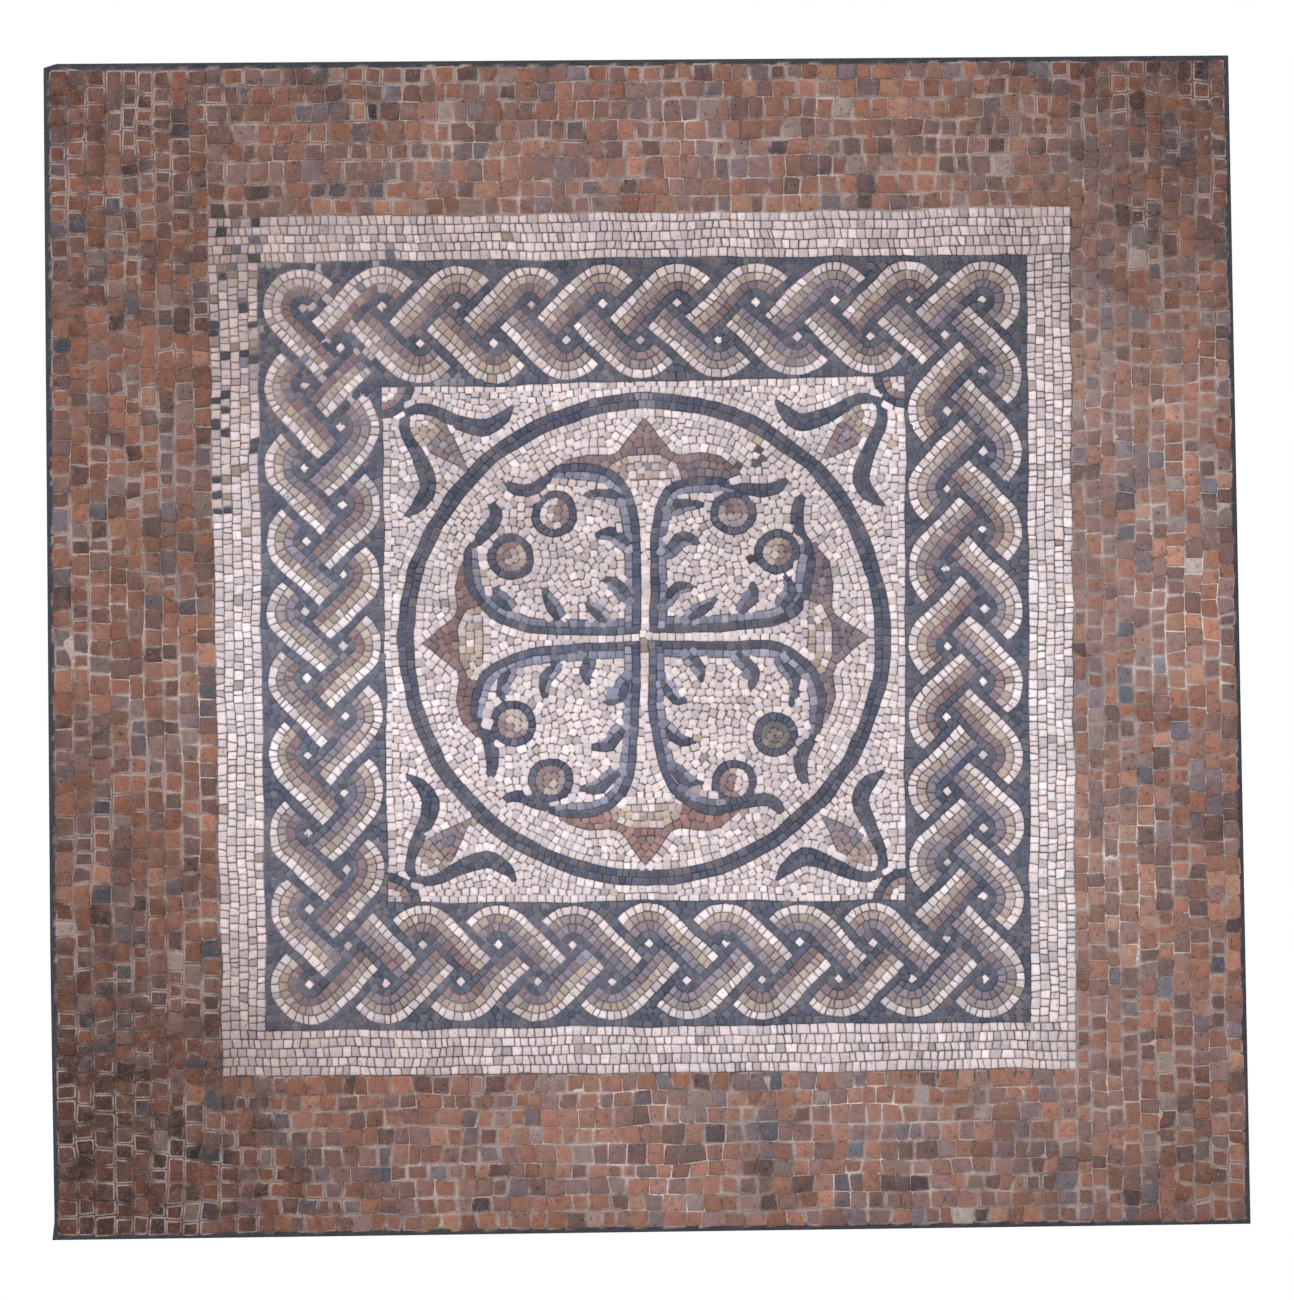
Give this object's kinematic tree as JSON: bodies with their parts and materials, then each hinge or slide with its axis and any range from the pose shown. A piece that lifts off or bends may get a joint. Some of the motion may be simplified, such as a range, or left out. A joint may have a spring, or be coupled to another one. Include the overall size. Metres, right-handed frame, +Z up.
{
  "type": "mosaic panel",
  "caption": "Square Roman mosaic pavement on a wall slab: red tile border, plaited guilloche band, and a ringed medallion of acanthus leaves with corner buds.",
  "frame": {"origin": "middle of the flat back of the slab, which goes against the wall", "axes": "+Z up, -Y out of the mosaic face towards the viewer, +X to the viewer's right"},
  "size_m": [1.622, 0.06, 1.592],
  "materials": {
    "slab": "rough cast cement, dusty",
    "mortar": "dark sandy mortar, matt",
    "red_tile": "worn fired-clay tile, matt to satin, some burnt brown, grey and slate pieces",
    "white_limestone": "honed chalky limestone, satin, stained joints",
    "slate": "dark blue-grey lias, worn satin",
    "strand_stone": "rows of white, buff and brown cut stone, worn satin",
    "blue_grey_lias": "blue-grey lias edged with dark slate rows, worn satin",
    "brown_sandstone": "red-brown sandstone, matt",
    "purple_sandstone": "purple-grey sandstone, matt",
    "buff_limestone": "buff limestone, matt"
  },
  "bodies": {
    "root": {"acanthus_leaf_bottom_left": "blue_grey_lias", "acanthus_leaf_bottom_right": "blue_grey_lias", "acanthus_leaf_top_left": "blue_grey_lias", "acanthus_leaf_top_right": "blue_grey_lias", "backing_slab": "slab", "brown_point_bottom": "brown_sandstone", "brown_point_left": "brown_sandstone", "brown_point_right": "brown_sandstone", "brown_point_top": "brown_sandstone", "bud_cup_bottom_left": "buff_limestone", "bud_cup_bottom_right": "buff_limestone", "bud_cup_top_left": "buff_limestone", "bud_cup_top_right": "buff_limestone", "buff_base_bottom": "buff_limestone", "buff_base_left": "buff_limestone", "buff_base_right": "buff_limestone", "buff_base_top": "buff_limestone", "corner_bud_bottom_left": "purple_sandstone", "corner_bud_bottom_right": "purple_sandstone", "corner_bud_top_left": "purple_sandstone", "corner_bud_top_right": "purple_sandstone", "corner_ground": "white_limestone", "corner_spot_bottom_left": "brown_sandstone", "corner_spot_bottom_right": "brown_sandstone", "corner_spot_top_left": "brown_sandstone", "corner_spot_top_right": "brown_sandstone", "corner_tendril_bottom_left": "slate", "corner_tendril_bottom_right": "slate", "corner_tendril_top_left": "slate", "corner_tendril_top_right": "slate", "cross_ground": "white_limestone", "guilloche_ground": "slate", "guilloche_strands": "strand_stone", "medallion_ground": "white_limestone", "medallion_ring": "slate", "mortar_bed": "mortar", "red_border_bottom": "red_tile", "red_border_left": "red_tile", "red_border_right": "red_tile", "red_border_top": "red_tile", "scroll_bottom_left_lower": "brown_sandstone", "scroll_bottom_left_upper": "brown_sandstone", "scroll_bottom_right_lower": "brown_sandstone", "scroll_bottom_right_upper": "brown_sandstone", "scroll_top_left_lower": "brown_sandstone", "scroll_top_left_upper": "brown_sandstone", "scroll_top_right_lower": "brown_sandstone", "scroll_top_right_upper": "brown_sandstone", "white_border": "white_limestone"}
  },
  "joints": []
}
